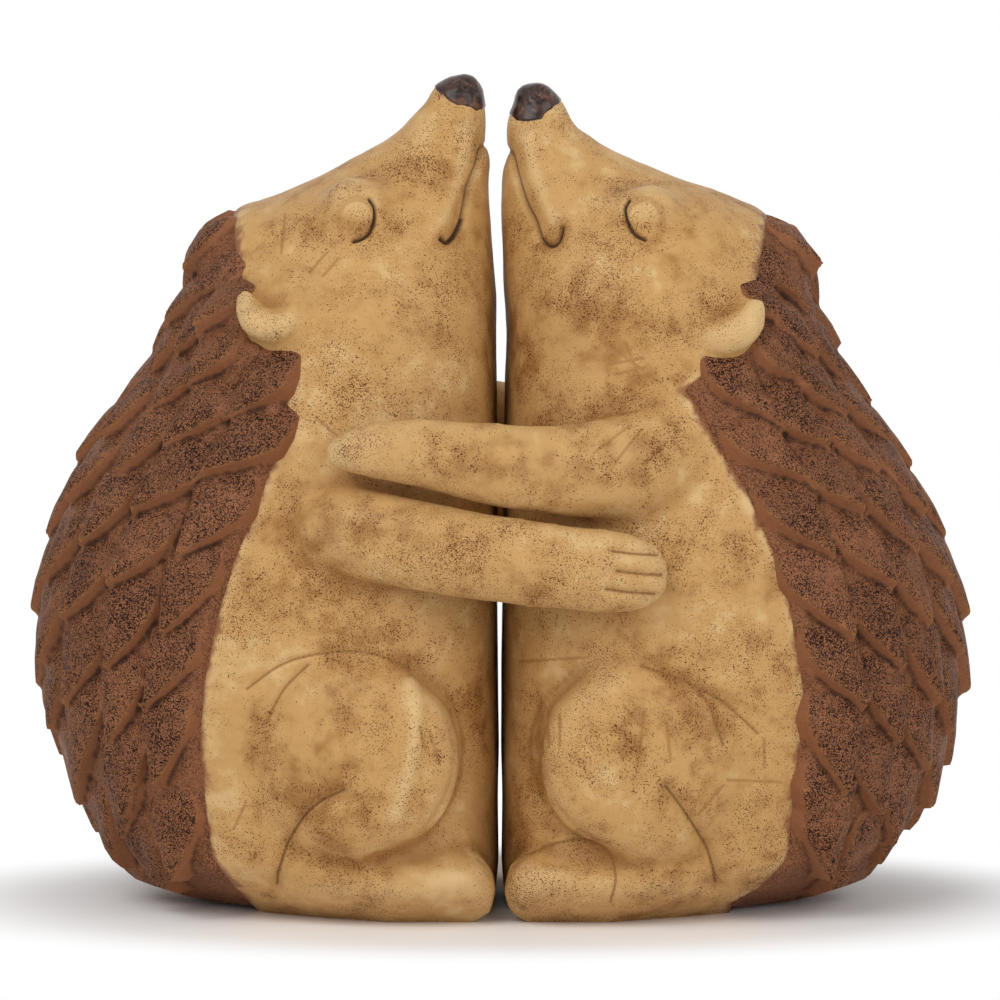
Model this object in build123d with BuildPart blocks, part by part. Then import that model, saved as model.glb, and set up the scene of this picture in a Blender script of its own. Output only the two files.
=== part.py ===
"""A pair of hedgehog figures in cast resin that stand belly to belly and hug.

Each figure is a body with a quill coat, a nose, two ears, two arms and two legs. The two figures are
separate castings, so the right one draws straight away from the left one along X.

Frame: millimetres, +Z up, origin on the resting plane midway between the figures. The left figure
stands on -X and the right one on +X. The near side of each figure is on -Y and the far side on +Y.
Every piece is shaped on the right of the middle plane, where X is its depth behind that plane, and the
left figure's pieces are mirrored from there.
"""

import os
from collections import namedtuple
from math import copysign, cos, radians, sin, tau

from build123d import *

# Body of one figure, without its quill coat
body_height = 102.2  # resting plane to the flat that the nose sits on
body_depth = 56.5  # middle plane to the back
body_width = 52.0  # flank to flank
belly_gap = 0.4  # middle plane to the belly at its closest

# Level sections of the body from the base to the muzzle, as shares of body_height, of body_depth for
# front and back, of body_width, and of the section's own depth for its widest place. A front of power 2
# is half an ellipse, and higher powers are squarer.
Level = namedtuple("Level", "height front back width widest front_power")
body_level_shares = (
    Level(0.000, 0.012, 0.655, 0.730, 0.40, 3.0),
    Level(0.030, 0.006, 0.760, 0.830, 0.40, 3.0),
    Level(0.090, 0.000, 0.876, 0.920, 0.40, 3.0),
    Level(0.200, 0.000, 0.952, 0.990, 0.40, 3.0),
    Level(0.355, 0.000, 1.000, 1.000, 0.41, 3.0),
    Level(0.490, 0.003, 0.960, 0.945, 0.42, 2.9),
    Level(0.590, 0.005, 0.858, 0.865, 0.44, 2.8),
    Level(0.670, 0.006, 0.740, 0.800, 0.46, 2.7),
    Level(0.750, 0.005, 0.687, 0.755, 0.48, 2.4),
    Level(0.830, 0.005, 0.644, 0.630, 0.53, 2.0),
    Level(0.872, 0.008, 0.580, 0.510, 0.57, 1.9),
    Level(0.911, 0.013, 0.430, 0.360, 0.56, 2.0),
    Level(0.951, 0.033, 0.290, 0.240, 0.52, 2.0),
    Level(0.980, 0.033, 0.200, 0.170, 0.50, 2.0),
    Level(1.000, 0.030, 0.161, 0.135, 0.50, 2.0),
)
back_power = 2.0
outline_points = 16  # round one level, even

# Closed eyelids, which stand out of the sides of the head
lid_radius = 2.5
lid_proud = 0.8  # how far the lid stands out of the head
lid_place_shares = (0.318, 0.868)  # depth and height of its middle, of body_depth and body_height

# Quill coat, a shell over the back with its front edge given as shares of body_depth and body_height
coat_thickness = 2.0
coat_lift = 0.8  # resting plane to the lower edge of the coat
coat_top_level = 12  # levels of the body that the coat reaches over, counted from the base
coat_edge_shares = (
    (0.590, 0.885),
    (0.560, 0.810),
    (0.525, 0.730),
    (0.470, 0.660),
    (0.478, 0.600),
    (0.520, 0.525),
    (0.570, 0.455),
    (0.615, 0.380),
    (0.640, 0.290),
    (0.645, 0.200),
    (0.635, 0.100),
    (0.605, 0.000),
)

# Quills, laid on the coat in staggered rows like shingles
quill_length = 13.5
quill_width = 7.4
quill_thickness = 1.5
quill_lift = 0.8  # skin of the coat to the middle of the quill's thickness, where it sits
quill_tilt = 9.0  # degrees that a quill rises from the coat towards its tip
quill_rows = 12
quills_round = 20  # quills that a row would hold all the way round the figure
quill_row_shares = (0.07, 0.93)  # first and last row, along the coat from its foot to its crown
quill_sweep = (80.0, 32.0)  # degrees below the horizon that quills point at the foot and at the crown
quill_widest_share = 0.42  # of the quill's length, from its root
quill_seat_share = 0.45  # of the quill's length that lies behind the point where it sits

# Nose
nose_radius = 3.4
nose_height = 3.7  # flat of the muzzle to the top of the nose

# Ears
ear_radius = 4.3
ear_thickness = 5.2
ear_dish_radius = 2.8
ear_dish_depth = 1.6
ear_place_shares = (0.480, 0.747)  # depth and height of its middle, of body_depth and body_height
ear_out_share = 0.93  # of the half width there
ear_lean = 28.0  # degrees that the dish leans outwards from straight up

# Legs: a round haunch on the flank and a foot in front of it
haunch_radius = 13.5
haunch_thickness = 15.0
haunch_proud = 3.8  # how far the haunch stands out of the flank
haunch_depth = 18.5
haunch_height = 20.5
foot_length = 28.0
foot_radius = 6.8
foot_height = 3.6  # resting plane to the middle of the foot
foot_spread = 37.5  # middle of one foot to the middle of the other

# Arms. The right figure's arms lie over the left figure's.
upper_arm_level = 58.6  # resting plane to the middle of the upper arm, between the figures
upper_arm_height = 9.8
upper_arm_depth = 8.2
lower_arm_height = 10.6
lower_arm_depth = 8.6
arm_gap = 0.7  # between the upper and the lower arm
arm_clearance = 0.6  # between an arm and the flank that it lies on
arm_root = 23.0  # middle plane to the root of the arm, inside its own figure
upper_arm_reach = 21.5  # middle plane to the tip of the paw
lower_arm_reach = 20.5
upper_arm_rises = (1.5, 2.4)  # how far its root and the tip of its paw are above its middle
lower_arm_rises = (2.5, -2.4)

# Sections of an arm from its root to the tip of its paw. Along is a share of arm_root before the middle
# plane and of the reach after it. Out is 0 with the arm half sunk in the flank and 1 with it just clear.
ArmSection = namedtuple("ArmSection", "along out height depth")
arm_section_shares = (
    ArmSection(-1.00, -1.60, 1.15, 1.10),
    ArmSection(-0.62, -0.35, 1.22, 1.12),
    ArmSection(-0.28, 0.45, 1.10, 1.06),
    ArmSection(0.00, 0.85, 1.00, 1.00),
    ArmSection(0.42, 1.00, 0.92, 0.92),
    ArmSection(0.74, 1.00, 0.84, 0.80),
    ArmSection(0.93, 1.00, 0.66, 0.56),
    ArmSection(1.00, 1.00, 0.34, 0.28),
)

FLANKS = {"near": -1, "far": 1}  # side of a figure, along Y


def level_at(height):
    """The level of the body at a height, straight between the two levels on either side of it."""
    share = height / body_height
    pairs = zip(body_level_shares, body_level_shares[1:])
    below, above = next(pair for pair in pairs if pair[1].height >= share)
    part_way = (share - below.height) / (above.height - below.height)
    return Level(*(low + part_way * (high - low) for low, high in zip(below, above)))


def half_width_at(height):
    """Half the width of the body at a height."""
    return level_at(height).width * body_width / 2


def section_sizes(level, growth):
    """Depth of the widest place of a level, its half width there and its reach to the front and the back."""
    front = belly_gap + level.front * body_depth
    back = level.back * body_depth + growth
    widest = front + level.widest * (back - front)
    return widest, level.width * body_width / 2 + growth, widest - front, back - widest


def flank_at(depth, height):
    """How far out the side of the body is in front of its widest place, at a depth and a height."""
    level = level_at(height)
    widest, half_width, front_reach, _ = section_sizes(level, 0)
    forward = (widest - depth) / front_reach
    return half_width * (1 - forward**level.front_power) ** (1 / level.front_power)


def level_outline(level, growth):
    """Points round one level of the body, from the belly round by one flank, the back and the other flank."""
    widest, half_width, front_reach, back_reach = section_sizes(level, growth)
    outline = []
    for place in range(outline_points):
        angle = tau * place / outline_points
        forward, across = cos(angle), sin(angle)
        reach, power = (front_reach, level.front_power) if forward > 0 else (back_reach, back_power)
        depth = widest - copysign(reach * abs(forward) ** (2 / power), forward)
        outline.append((depth, copysign(half_width * abs(across) ** (2 / power), across)))
    return outline


def rounded_form(levels, growth=0.0):
    """A smooth solid through level sections of the body, grown outwards at the flanks and the back."""
    with BuildPart() as form:
        for level in levels:
            with BuildSketch(Plane.XY.offset(level.height * body_height)):
                with BuildLine():
                    Spline(*level_outline(level, growth), periodic=True)
                make_face()
        loft()
    return form.part


def ball(centre, half_sizes, lean=0.0):
    """A ball with a half size along each of X, Y and Z, which leans over about X by some degrees."""
    with BuildPart() as shape:
        Sphere(1)
        scale(by=half_sizes)
    return shape.part.moved(Location(centre, (lean, 0, 0)))


def mirrored(part):
    """The same piece on the other side of the middle plane."""
    with BuildPart() as other:
        mirror(part, about=Plane.YZ)
    return other.part


def make_body():
    """Torso and head in one, on a flat base, with a closed lid on either side of the head."""
    depth, height = lid_place_shares[0] * body_depth, lid_place_shares[1] * body_height
    out = flank_at(depth, height) + lid_proud - lid_radius
    with BuildPart() as body:
        add(rounded_form(body_level_shares))
        for flank in FLANKS.values():
            add(ball((depth, flank * out, height), (lid_radius, lid_radius, lid_radius)))
    return body.part


def coat_region():
    """The space behind the front edge of the quill coat, right across the figure."""
    edge = [(depth * body_depth, height * body_height) for depth, height in coat_edge_shares]
    crown, foot = edge[0], (edge[-1][0], coat_lift)
    behind = body_depth + coat_thickness + quill_length
    with BuildPart() as region:
        with BuildSketch(Plane.XZ):
            with BuildLine():
                Spline(*edge[:-1], foot)
                Polyline(foot, (behind, coat_lift), (behind, body_height), (crown[0], body_height), crown)
            make_face()
        extrude(amount=body_width, both=True)
    return region.part


def quill():
    """One quill: a flat pointed leaf along X, with its seat at the origin."""
    root = -quill_seat_share * quill_length
    widest = root + quill_widest_share * quill_length
    tip = root + quill_length
    with BuildPart() as leaf:
        with BuildSketch():
            Polygon((root, 0), (widest, -quill_width / 2), (tip, 0), (widest, quill_width / 2), align=None)
        extrude(amount=quill_thickness / 2, both=True)
    return leaf.part


def quill_seats(skin, region):
    """Planes of the quills, in staggered rows over the skin, behind the coat's edge and off the ground."""
    first, last = quill_row_shares
    foot_sweep, crown_sweep = quill_sweep
    tilt = radians(quill_tilt)
    room = region.solid()
    seats = []
    for row in range(quill_rows):
        row_share = row / (quill_rows - 1)
        sweep = radians(foot_sweep + row_share * (crown_sweep - foot_sweep))
        flow = Vector(cos(sweep), 0, -sin(sweep))
        for place in range(quills_round):
            spot = ((place + row % 2 / 2) / quills_round, first + row_share * (last - first))
            outward = skin.normal_at(*spot)
            seat = skin.position_at(*spot) + outward * quill_lift
            heading = (flow - outward * flow.dot(outward)).normalized()
            along = heading * cos(tilt) + outward * sin(tilt)
            up = outward * cos(tilt) - heading * sin(tilt)
            root = seat - along * quill_seat_share * quill_length
            tip = root + along * quill_length
            if room.is_inside(root) and tip.Z > coat_lift:
                seats.append(Plane(origin=seat, x_dir=along, z_dir=up))
    return seats


def make_shell(body, coat_form, region):
    """The bare shell of the coat, over the back of a figure."""
    with BuildPart() as shell:
        add(coat_form)
        add(region, mode=Mode.INTERSECT)
        add(body, mode=Mode.SUBTRACT)
    return shell.part


def make_quill_coat(shell, coat_form, region):
    """The shell with its quills."""
    skin = coat_form.faces().sort_by(SortBy.AREA)[-1]
    with BuildPart() as coat:
        add(shell)
        with Locations(*quill_seats(skin, region)):
            add(quill())
    return coat.part


def make_nose(body):
    """The round cap on the flat of the muzzle."""
    muzzle = body_level_shares[-1]
    depth = (belly_gap + (muzzle.front + muzzle.back) * body_depth) / 2
    with BuildPart() as nose:
        add(ball((depth, 0, body_height), (nose_radius, nose_radius, nose_height)))
        add(body, mode=Mode.SUBTRACT)
        split(bisect_by=Plane.XY.offset(body_height), keep=Keep.TOP)
    return nose.part


def make_ear(flank, body, shell):
    """A thick round ear with a shallow dish in it that faces up and outwards."""
    depth, height = ear_place_shares[0] * body_depth, ear_place_shares[1] * body_height
    lean = radians(ear_lean)
    centre = Vector(depth, flank * ear_out_share * half_width_at(height), height)
    rim = centre + Vector(0, flank * sin(lean), cos(lean)) * ear_thickness / 2
    with BuildPart() as ear:
        add(ball(centre, (ear_radius, ear_radius, ear_thickness / 2), -flank * ear_lean))
        dish = (ear_dish_radius, ear_dish_radius, ear_dish_depth)
        add(ball(rim, dish, -flank * ear_lean), mode=Mode.SUBTRACT)
        add([body, shell], mode=Mode.SUBTRACT)
    return ear.part


def make_leg(flank, body, shell):
    """A round haunch on the flank with a foot in front of it, flat underneath."""
    haunch_out = half_width_at(haunch_height) + haunch_proud - haunch_thickness / 2
    foot = (belly_gap + foot_length / 2, flank * foot_spread / 2, foot_height)
    with BuildPart() as leg:
        haunch_sizes = (haunch_radius, haunch_thickness / 2, haunch_radius)
        add(ball((haunch_depth, flank * haunch_out, haunch_height), haunch_sizes))
        add(ball(foot, (foot_length / 2, foot_radius, foot_radius)))
        split(bisect_by=Plane.XY, keep=Keep.TOP)
        add([body, shell], mode=Mode.SUBTRACT)
    return leg.part


def make_arm(flank, body, level, height, depth, reach, rises):
    """An arm that leaves the flank of its own figure and lies along the flank of the other one."""
    flank_out = half_width_at(level - height / 4)
    root_rise, paw_rise = rises
    with BuildPart() as arm:
        for section in arm_section_shares:
            length, rise = (reach, paw_rise) if section.along > 0 else (arm_root, root_rise)
            half_depth = section.depth * depth / 2
            out = flank_out + section.out * (arm_clearance + half_depth)
            middle = Vector(-section.along * length, flank * out, level + abs(section.along) * rise)
            with BuildSketch(Plane(origin=middle, x_dir=(0, 1, 0), z_dir=(1, 0, 0))):
                Ellipse(half_depth, section.height * height / 2)
        loft()
        add(body, mode=Mode.SUBTRACT)
    return arm.part


body = make_body()
coat_form = rounded_form(body_level_shares[:coat_top_level], coat_thickness)
region = coat_region()
shell = make_shell(body, coat_form, region)
coat = make_quill_coat(shell, coat_form, region)
shared = {"body": body, "quill_coat": coat, "nose": make_nose(body)}
for flank_name, flank in FLANKS.items():
    shared[f"{flank_name}_ear"] = make_ear(flank, body, shell)
    shared[f"{flank_name}_leg"] = make_leg(flank, body, shell)

lower_arm_level = upper_arm_level - upper_arm_height / 2 - arm_gap - lower_arm_height / 2
upper_arm = (upper_arm_level, upper_arm_height, upper_arm_depth, upper_arm_reach, upper_arm_rises)
lower_arm = (lower_arm_level, lower_arm_height, lower_arm_depth, lower_arm_reach, lower_arm_rises)

pieces = {}
for piece, part in shared.items():
    pieces[f"right_{piece}"] = part
    pieces[f"left_{piece}"] = mirrored(part)
for flank_name, flank in FLANKS.items():
    pieces[f"right_{flank_name}_arm"] = make_arm(flank, body, *upper_arm)
    pieces[f"left_{flank_name}_arm"] = mirrored(make_arm(flank, body, *lower_arm))

os.makedirs("parts", exist_ok=True)
for name, part in pieces.items():
    part.label = name
    export_step(part, f"parts/{name}.step")
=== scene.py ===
"""Two hedgehog figures in cast resin that hug belly to belly, modelled over their CAD frame.

Lengths in the tables are millimetres. A place on the side of a figure is given as the camera sees it: its
depth behind the middle plane, negative past it, and its rise above the resting line. Near and far sides
match, so a place on the far side is read in its mirror image.
"""

import math
import random

import bmesh
import bpy
import numpy as np
from mathutils import Matrix, Vector, noise
from mathutils.bvhtree import BVHTree


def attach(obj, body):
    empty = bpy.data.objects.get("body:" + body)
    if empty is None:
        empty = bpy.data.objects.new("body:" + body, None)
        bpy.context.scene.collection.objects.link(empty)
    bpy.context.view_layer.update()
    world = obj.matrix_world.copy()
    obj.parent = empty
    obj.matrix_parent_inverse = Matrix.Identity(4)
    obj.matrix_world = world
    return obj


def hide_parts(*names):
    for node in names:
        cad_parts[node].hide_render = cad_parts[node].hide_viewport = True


bl_info = {
    "name": "Hugging hedgehog figures",
    "version": (1, 0, 0),
    "blender": (4, 5, 0),
    "location": "View3D > Sidebar > Hedgehogs",
    "description": "Models a pair of cast-resin hedgehogs over their CAD frame",
    "category": "Object",
}

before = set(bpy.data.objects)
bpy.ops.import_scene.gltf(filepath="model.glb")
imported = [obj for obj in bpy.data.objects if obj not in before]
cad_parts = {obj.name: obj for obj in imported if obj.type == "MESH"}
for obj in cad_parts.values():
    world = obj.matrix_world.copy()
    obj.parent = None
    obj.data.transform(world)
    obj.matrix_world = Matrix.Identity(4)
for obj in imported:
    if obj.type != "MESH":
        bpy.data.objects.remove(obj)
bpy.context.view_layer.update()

MM = 0.001
SIDES = {"left": -1, "right": 1}
FLANKS = (-1, 1)

# Camera, which the places below are read through
VIEW_ELEVATION = math.radians(6.5)
VIEW_DISTANCE = 900 * MM
VIEW_WIDTH = 127.7 * MM  # width of the picture at the middle of the pair
VIEW_RISE = 51.0 * MM  # rise of the middle of the picture
SENSOR = 36 * MM
VIEW_RIGHT = Vector((1, 0, 0))
VIEW_UP = Vector((0, math.sin(VIEW_ELEVATION), math.cos(VIEW_ELEVATION)))
VIEW_FORWARD = Vector((0, math.cos(VIEW_ELEVATION), -math.sin(VIEW_ELEVATION)))
VIEW_FROM = VIEW_UP * VIEW_RISE - VIEW_FORWARD * VIEW_DISTANCE

# Limbs from root to tip: depth, distance out from the middle, height, half depth, half height.
# The right figure's arms lie above the left figure's.
ARMS = {
    "right": (
        (29.0, 12.0, 61.5, 3.0, 3.5),
        (25.5, 16.0, 60.8, 4.0, 5.2),
        (21.5, 19.6, 59.6, 4.8, 6.3),
        (16.3, 22.6, 58.3, 4.9, 6.6),
        (9.8, 25.4, 57.9, 4.6, 6.0),
        (3.2, 27.0, 58.3, 4.3, 5.5),
        (0.0, 27.3, 58.7, 4.2, 5.3),
        (-3.3, 27.5, 59.2, 4.1, 5.0),
        (-9.8, 27.5, 60.2, 3.8, 4.4),
        (-16.3, 27.0, 60.5, 3.1, 3.4),
        (-19.4, 26.4, 60.2, 2.3, 2.2),
    ),
    "left": (
        (28.0, 16.0, 51.0, 3.0, 3.0),
        (25.0, 19.6, 50.6, 4.2, 4.0),
        (22.0, 22.2, 50.4, 4.6, 5.0),
        (19.0, 24.3, 50.2, 4.7, 5.6),
        (16.0, 25.9, 49.9, 4.7, 5.8),
        (9.8, 27.8, 48.8, 4.6, 5.8),
        (3.3, 28.8, 47.7, 4.3, 5.6),
        (0.0, 29.1, 47.3, 4.2, 5.5),
        (-3.3, 29.3, 46.9, 4.2, 5.5),
        (-9.8, 29.3, 46.1, 4.0, 5.3),
        (-13.0, 29.2, 45.8, 3.9, 5.3),
        (-16.3, 28.8, 45.5, 3.5, 4.9),
        (-18.0, 28.4, 45.3, 2.8, 4.0),
    ),
}
FOOT = (
    (27.0, 15.5, 4.2, 6.0, 5.4),
    (22.0, 17.2, 4.6, 6.6, 6.2),
    (15.0, 18.2, 4.4, 6.8, 6.2),
    (9.0, 18.6, 4.3, 6.8, 6.1),
    (6.1, 18.4, 4.4, 6.6, 5.8),
)
EARS = {
    "left": (
        (31.5, 16.9, 78.4, 1.4, 1.4),
        (30.7, 18.2, 76.1, 2.1, 1.9),
        (28.6, 18.9, 75.1, 2.3, 2.1),
        (26.5, 18.7, 75.4, 2.2, 2.0),
        (25.2, 17.6, 77.1, 1.5, 1.4),
    ),
    "right": (
        (31.6, 16.9, 77.2, 1.6, 1.6),
        (30.6, 18.2, 75.3, 2.2, 2.2),
        (28.6, 18.9, 74.0, 2.4, 2.4),
        (26.4, 18.7, 73.6, 2.2, 2.2),
        (24.5, 17.6, 74.1, 1.6, 1.5),
    ),
}
# Rounded masses: middle and half sizes, then how square they are and how far their fronts stand out
HAUNCH = ((18.4, 21.4, 21.8), (13.4, 7.8, 13.0), 0.6, 0.16)
SHIN = ((20.5, 16.6, 10.0), (8.2, 6.2, 9.0), 0.8, 0.05)
SHOULDER = ((24.0, 15.5, 63.0), (9.0, 7.0, 8.0), 1.0, 0.0)
CROWN = {"left": ((33.2, 0.0, 82.6), (6.0, 10.0, 6.0)), "right": ((33.4, 0.0, 81.3), (6.2, 10.0, 6.7))}
LID = ((18.3, 86.9), (5.0, 5.0, 5.0))  # where it is seen, and its half sizes
LID_PROUD = 0.6
LID_RIM = (2.45, 2.6)  # half width and half height of the line round it
LID_RIM_TURNS = (-160, 40, 10)  # the part of that line that is drawn, and its steps, in degrees
LID_RIM_TILT = 1.6
TAIL = ((37.5, 0.0, 6.0), (11.0, 11.0, 7.0))  # foot of the coat, which goes down to the resting plane

# Half width of the face that a figure rests on, by depth
REST_FACE = ((0.0, 16.8), (14.0, 16.8), (22.0, 13.5), (29.0, 10.0), (36.0, 6.0))
# Lower edge of the quill coat as it is seen
COAT_FOOT = (
    (28.0, -1.2), (36.4, -0.3), (40.0, 0.4), (44.7, 1.9), (46.5, 2.6), (49.5, 5.0), (51.2, 7.6), (53.5, 10.1),
)

# Top of the head as it is seen, nose to nape
FOREHEAD = {
    "left": (
        (2.5, 104.4), (3.4, 105.0), (4.7, 105.3), (6.4, 105.0), (7.7, 104.5), (8.5, 103.9), (9.4, 102.5),
        (10.4, 101.1), (11.7, 99.4), (14.0, 97.5), (16.5, 96.0), (19.3, 94.4), (22.0, 92.9), (26.0, 91.1),
        (30.0, 89.4), (33.2, 88.5),
    ),
    "right": (
        (2.5, 103.9), (3.4, 104.1), (4.7, 104.3), (6.4, 103.9), (7.7, 102.6), (8.5, 101.1), (9.4, 99.8),
        (10.4, 98.6), (11.7, 97.4), (14.0, 96.0), (16.5, 94.7), (19.3, 93.5), (24.0, 91.6), (28.0, 90.5),
        (32.0, 88.8), (35.0, 87.5),
    ),
}
# Front of a figure as it is seen, from its feet to its nose: rise, depth
FRONT = {
    "left": (
        (4.0, 0.2), (20.0, 0.2), (30.0, 0.3), (67.0, 0.4), (76.4, 0.5), (79.5, 0.7), (82.5, 0.9),
        (85.6, 1.2), (88.7, 1.4), (91.7, 1.4), (94.8, 1.2), (95.6, 1.3), (96.3, 1.8), (97.4, 1.9),
        (99.4, 1.7), (102.5, 1.8), (104.0, 2.2),
    ),
    "right": (
        (4.0, 0.2), (20.0, 0.2), (30.0, 0.2), (67.0, 0.6), (71.8, 0.8), (75.0, 0.7), (79.5, 0.4),
        (84.0, 0.3), (88.7, 0.2), (91.7, 0.2), (93.3, 0.3), (94.8, 0.7), (95.6, 1.0), (96.3, 1.0),
        (97.9, 0.8), (100.9, 0.8), (102.5, 1.2), (103.3, 1.8),
    ),
}
# Lower edge of the nose paint, and a nostril
NOSE_EDGE = {
    "left": (
        (0.5, 101.4), (1.8, 101.0), (3.0, 100.6), (3.8, 101.1), (5.5, 101.3), (6.6, 102.0), (8.5, 103.6),
        (9.5, 104.6),
    ),
    "right": (
        (0.0, 100.8), (1.0, 100.4), (2.2, 99.4), (3.6, 99.2), (5.3, 99.6), (6.0, 100.4), (7.9, 102.0),
        (9.0, 103.2),
    ),
}
NOSTRIL = {"left": (4.4, 103.9), "right": (4.9, 102.7)}

# Lines in the surface, as they are seen
EYE = {
    "left": ((16.6, 89.5), (15.9, 88.3), (15.9, 86.8), (16.6, 85.3), (17.6, 84.5), (18.7, 84.1)),
    "right": ((16.4, 89.5), (15.8, 88.2), (16.2, 86.3), (17.3, 85.0), (18.5, 84.4)),
}
MOUTH = {
    "left": (
        (0.4, 96.9), (2.1, 96.1), (2.8, 93.7), (3.8, 91.2), (4.2, 89.1), (4.7, 86.7), (5.5, 85.0),
        (6.5, 84.0), (7.3, 84.4),
    ),
    "right": (
        (0.0, 96.2), (1.2, 95.4), (1.9, 92.7), (3.0, 89.1), (4.2, 86.8), (5.1, 84.5), (6.2, 83.6),
        (7.3, 84.1), (8.0, 85.9),
    ),
}
MOUTH_PAINT = {"left": 0.26, "right": 0.15}  # half width of the dark line at the corner
# Ridges of the muzzle and the thigh
RIDGES = {
    "left": (
        ((4.4, 98.0), (5.0, 94.0), (6.2, 90.0), (7.4, 86.8)),
        ((11.5, 27.5), (11.0, 23.3), (11.6, 16.9), (13.3, 11.0)),
    ),
    "right": (
        ((3.6, 97.0), (4.6, 92.5), (6.0, 88.8), (7.2, 86.4)),
    ),
}
# Front edges of the thighs
THIGHS = {
    "left": (
        (10.2, 30.0), (5.9, 26.0), (4.3, 22.0), (4.0, 18.8), (4.7, 14.4), (6.9, 10.2),
        (9.7, 7.0), (15.2, 4.6),
    ),
    "right": (
        (8.6, 29.0), (4.6, 24.9), (3.1, 21.0), (3.1, 17.6), (4.2, 14.0), (6.2, 10.7),
        (9.8, 7.5), (14.7, 4.6),
    ),
}
FINGERS = {
    "left": (
        ((-14.4, 44.7), (-17.5, 44.3), (-20.6, 44.2)),
        ((-15.0, 41.9), (-18.0, 41.5), (-21.0, 41.4)),
        ((-13.6, 39.4), (-16.5, 39.0), (-20.0, 38.7)),
    ),
    "right": (),
}
CREASES = {
    "left": (
        ((32.4, 26.8), (28.0, 29.9), (23.1, 31.3), (17.0, 31.5), (11.2, 29.6)),
        ((24.5, 29.9), (27.6, 26.8), (30.0, 22.4)),
    ),
    "right": (
        ((18.0, 29.9), (24.1, 27.6), (28.9, 24.8), (33.0, 21.1)),
        ((23.5, 28.2), (26.8, 24.8), (28.6, 19.7)),
        ((0.9, 3.6), (4.5, 6.3), (9.1, 7.3), (13.6, 5.4), (14.8, 2.7), (14.1, -0.5)),
    ),
}
HEELS = {
    "left": ((20.1, 13.8), (23.8, 11.8), (26.6, 8.3), (28.3, 3.6), (28.7, 1.4)),
    "right": ((21.4, 14.2), (24.1, 10.5), (26.5, 6.3), (27.8, 1.5)),
}
SCRATCHES = {
    "left": (
        ((27.5, 87.5), (28.0, 82.6)), ((24.3, 80.1), (22.2, 82.6)), ((22.6, 79.6), (20.6, 81.9)),
        ((9.0, 21.5), (7.6, 17.2)), ((10.2, 22.0), (9.4, 19.0)), ((34.0, 9.0), (32.6, 12.0)),
        ((3.4, 6.4), (1.6, 5.2)), ((2.8, 5.2), (1.3, 4.0)), ((20.0, 58.5), (23.5, 61.5)),
    ),
    "right": (
        ((14.2, 70.5), (18.3, 67.5)), ((13.7, 68.2), (18.3, 69.1)), ((16.0, 71.0), (17.7, 66.9)),
        ((14.6, 67.0), (18.6, 67.9)), ((2.5, 30.4), (11.3, 30.9)), ((18.4, 24.0), (17.9, 19.3)),
        ((15.9, 24.7), (17.9, 22.2)), ((21.3, 22.7), (21.8, 17.7)), ((5.9, 24.0), (6.1, 19.5)),
        ((7.5, 23.6), (7.5, 19.7)), ((29.1, 15.2), (35.9, 14.9)), ((33.8, 20.4), (33.8, 16.8)),
        ((25.4, 10.8), (28.6, 14.5)), ((12.0, 57.0), (16.5, 60.5)), ((15.0, 56.0), (18.0, 60.0)),
        ((18.5, 55.5), (21.5, 58.5)), ((11.0, 61.5), (17.5, 62.4)),
    ),
}

# Front edge of the quill coat as it is seen, from its foot to its crown
COAT_EDGE = {
    "left": (
        (30.2, -1.4), (33.2, 1.8), (36.0, 5.3), (37.0, 12.8), (37.7, 20.4), (37.0, 28.1), (35.5, 35.7),
        (33.2, 43.4), (30.0, 51.1), (27.4, 58.7), (26.6, 65.1), (25.6, 68.3), (31.0, 71.5), (32.4, 76.6),
        (33.2, 88.5),
    ),
    "right": (
        (28.4, -0.6), (32.0, 1.1), (36.2, 5.3), (36.8, 12.0), (38.3, 25.5), (35.7, 40.9), (30.6, 52.3),
        (25.5, 60.0), (22.6, 65.1), (28.6, 69.4), (31.3, 75.3), (33.4, 87.8),
    ),
}
# How much further the back stands out than the frame's, by height
COAT_SWELL = {
    "left": (
        (5, -1.5), (10, -0.9), (15, -0.9), (20, 0.1), (26, 0.7), (32, 0.3), (38, 0.0), (46, -0.3), (52, -0.4),
        (58, 0.0), (65, 0.6), (72, 0.5), (77, 0.5), (80, -0.3), (84, -1.1), (90, -0.8),
    ),
    "right": (
        (5, -1.7), (10, -0.7), (15, 0.2), (20, 1.1), (26, 0.9), (32, 0.6), (38, -0.3), (44, -0.9), (50, -1.8),
        (56, -1.8), (61, -1.4), (66, -0.2), (72, -0.2), (76, -0.6), (80, -1.1), (84, -1.0), (90, -0.4),
    ),
}
# How far below level the quills point, by height
QUILL_SWEEP = ((5, 90), (15, 79), (30, 66), (50, 55), (70, 41), (85, 34))
QUILL_AXIS = 24 * MM  # depth of the upright line that the rows of quills are set out from
QUILL_ROOTS = (8.5, 85.5)  # lowest and highest rows
# One flank of a quill from root to tip, as shares of its length and of half its width
QUILL_OUTLINE = (
    (-0.5, 0.3), (-0.32, 0.76), (-0.15, 1.0), (-0.03, 0.96),
    (0.15, 0.66), (0.33, 0.34), (0.46, 0.11), (0.49, 0.05),
)
QUILL_FOOT = -3.0 * MM  # how deep its walls go below its seat
# Levels of a quill above its foot: share of the outline below, and height over the rim of its face
QUILL_LEVELS = ((0.86, -0.15 * MM), (0.94, 0.0), (0.5, 0.35 * MM))
QUILL_SUNK = 1.6 * MM  # how much lower its root lies
QUILL_FORMS = 6  # different quills that a coat is made of
QUILL_SHRINK = ((55, 86), (1, 0.62))  # heights that quills get smaller between, and their sizes there
QUILL_FAN = range(0, 150, 2)  # turns from the middle of the back that a row tries, in degrees
QUILL_CLEAR = (1.5 * MM, -2 * MM)  # how far behind the coat's edge a quill's flank and root keep
EAR_CLEAR = 6 * MM  # distance that quills keep from the middle of an ear

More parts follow.
